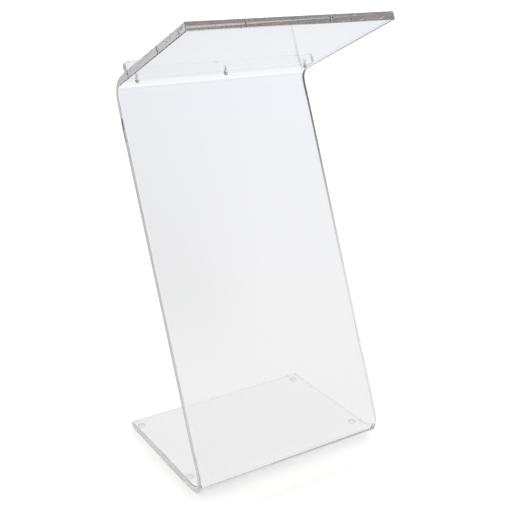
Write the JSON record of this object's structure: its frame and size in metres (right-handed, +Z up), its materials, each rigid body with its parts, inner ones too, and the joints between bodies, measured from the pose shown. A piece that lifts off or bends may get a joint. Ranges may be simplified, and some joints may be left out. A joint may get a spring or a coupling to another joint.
{
  "type": "presentation lectern",
  "caption": "Free-standing clear acrylic lectern: one thick sheet bent into a Z as base, leaning panel and sloping shelf, with a screwed ledge strip and bumper feet.",
  "frame": {"origin": "on the floor, under the middle of the footprint", "axes": "+Z up; +X to the right of someone in the audience looking at the lectern; -Y faces the audience and +Y the presenter"},
  "size_m": [0.53, 0.3916, 1.0978],
  "materials": {
    "clear_acrylic": "polished, clear",
    "stainless_steel": "plain machined",
    "clear_nylon": "satin, milky clear",
    "clear_bumper": "soft, clear, slightly cloudy"
  },
  "bodies": {
    "root": {"lectern_sheet": "clear_acrylic", "book_ledge": "clear_acrylic", "ledge_screw_left": "stainless_steel", "ledge_screw_centre": "stainless_steel", "ledge_screw_right": "stainless_steel", "screw_washer_left": "clear_nylon", "screw_washer_centre": "clear_nylon", "screw_washer_right": "clear_nylon", "foot_front_left": "clear_bumper", "foot_front_right": "clear_bumper", "foot_rear_left": "clear_bumper", "foot_rear_right": "clear_bumper"}
  },
  "joints": []
}
